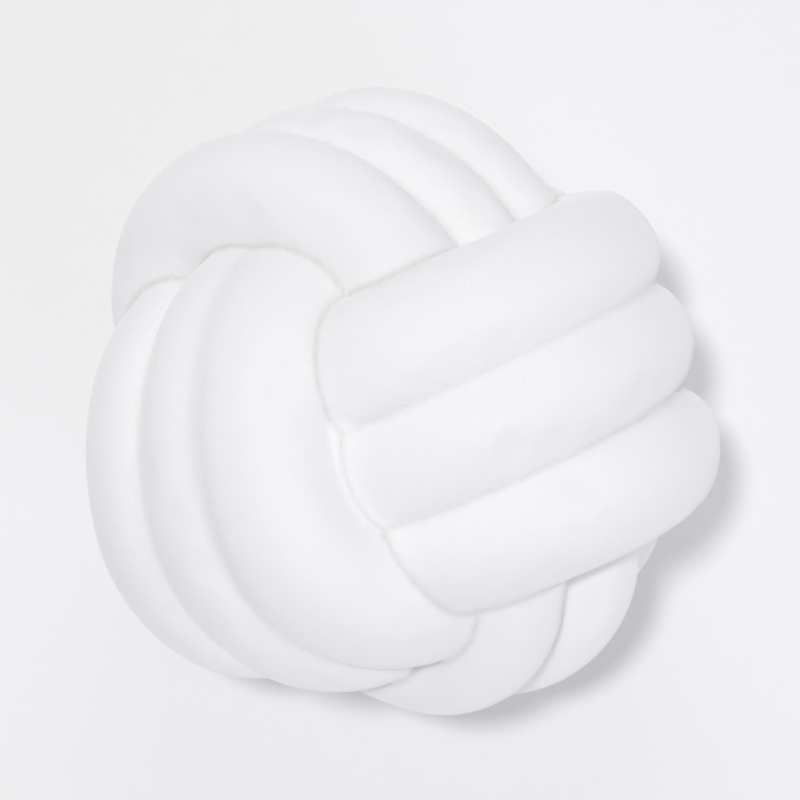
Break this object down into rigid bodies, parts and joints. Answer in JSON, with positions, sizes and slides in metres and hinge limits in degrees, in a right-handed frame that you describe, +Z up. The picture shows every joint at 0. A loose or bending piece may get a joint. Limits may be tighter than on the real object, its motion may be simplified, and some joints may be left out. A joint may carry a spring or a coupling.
{
  "type": "knot cushion",
  "caption": "Round cushion tied as a ball knot from one fat stuffed tube of white plush cloth, with a small flat spot to rest on.",
  "frame": {"origin": "middle of the ball's bounding box, on the surface that the cushion rests on", "axes": "+Z up, towards the face seen from above; +X to the right and +Y to the top of that view"},
  "size_m": [0.2714, 0.271, 0.254],
  "materials": {
    "plush_cloth": "soft matt white short-pile plush"
  },
  "bodies": {
    "root": {"knotted_tube": "plush_cloth"}
  },
  "joints": []
}
